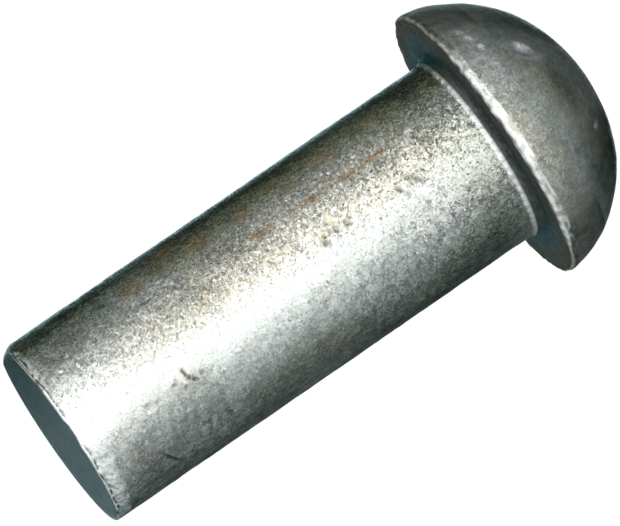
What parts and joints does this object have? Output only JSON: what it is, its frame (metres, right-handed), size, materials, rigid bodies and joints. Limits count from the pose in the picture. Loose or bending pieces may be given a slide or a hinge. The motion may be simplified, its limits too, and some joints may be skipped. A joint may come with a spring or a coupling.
{
  "type": "rivet",
  "caption": "Solid round-head rivet: a plain cylindrical steel shank with a sheared end and a domed head, driven through a drilled hole to hold plates together.",
  "frame": {"origin": "centre of the sheared end of the shank, on the surface that the rivet stands on", "axes": "+Z along the rivet's axis, from the sheared end up to the head; -X towards the rolled-over side of the sheared end"},
  "size_m": [0.015, 0.015, 0.0312],
  "materials": {
    "steel": "tumbled bare steel with light rust and stains"
  },
  "bodies": {
    "root": {"rivet": "steel"}
  },
  "joints": []
}
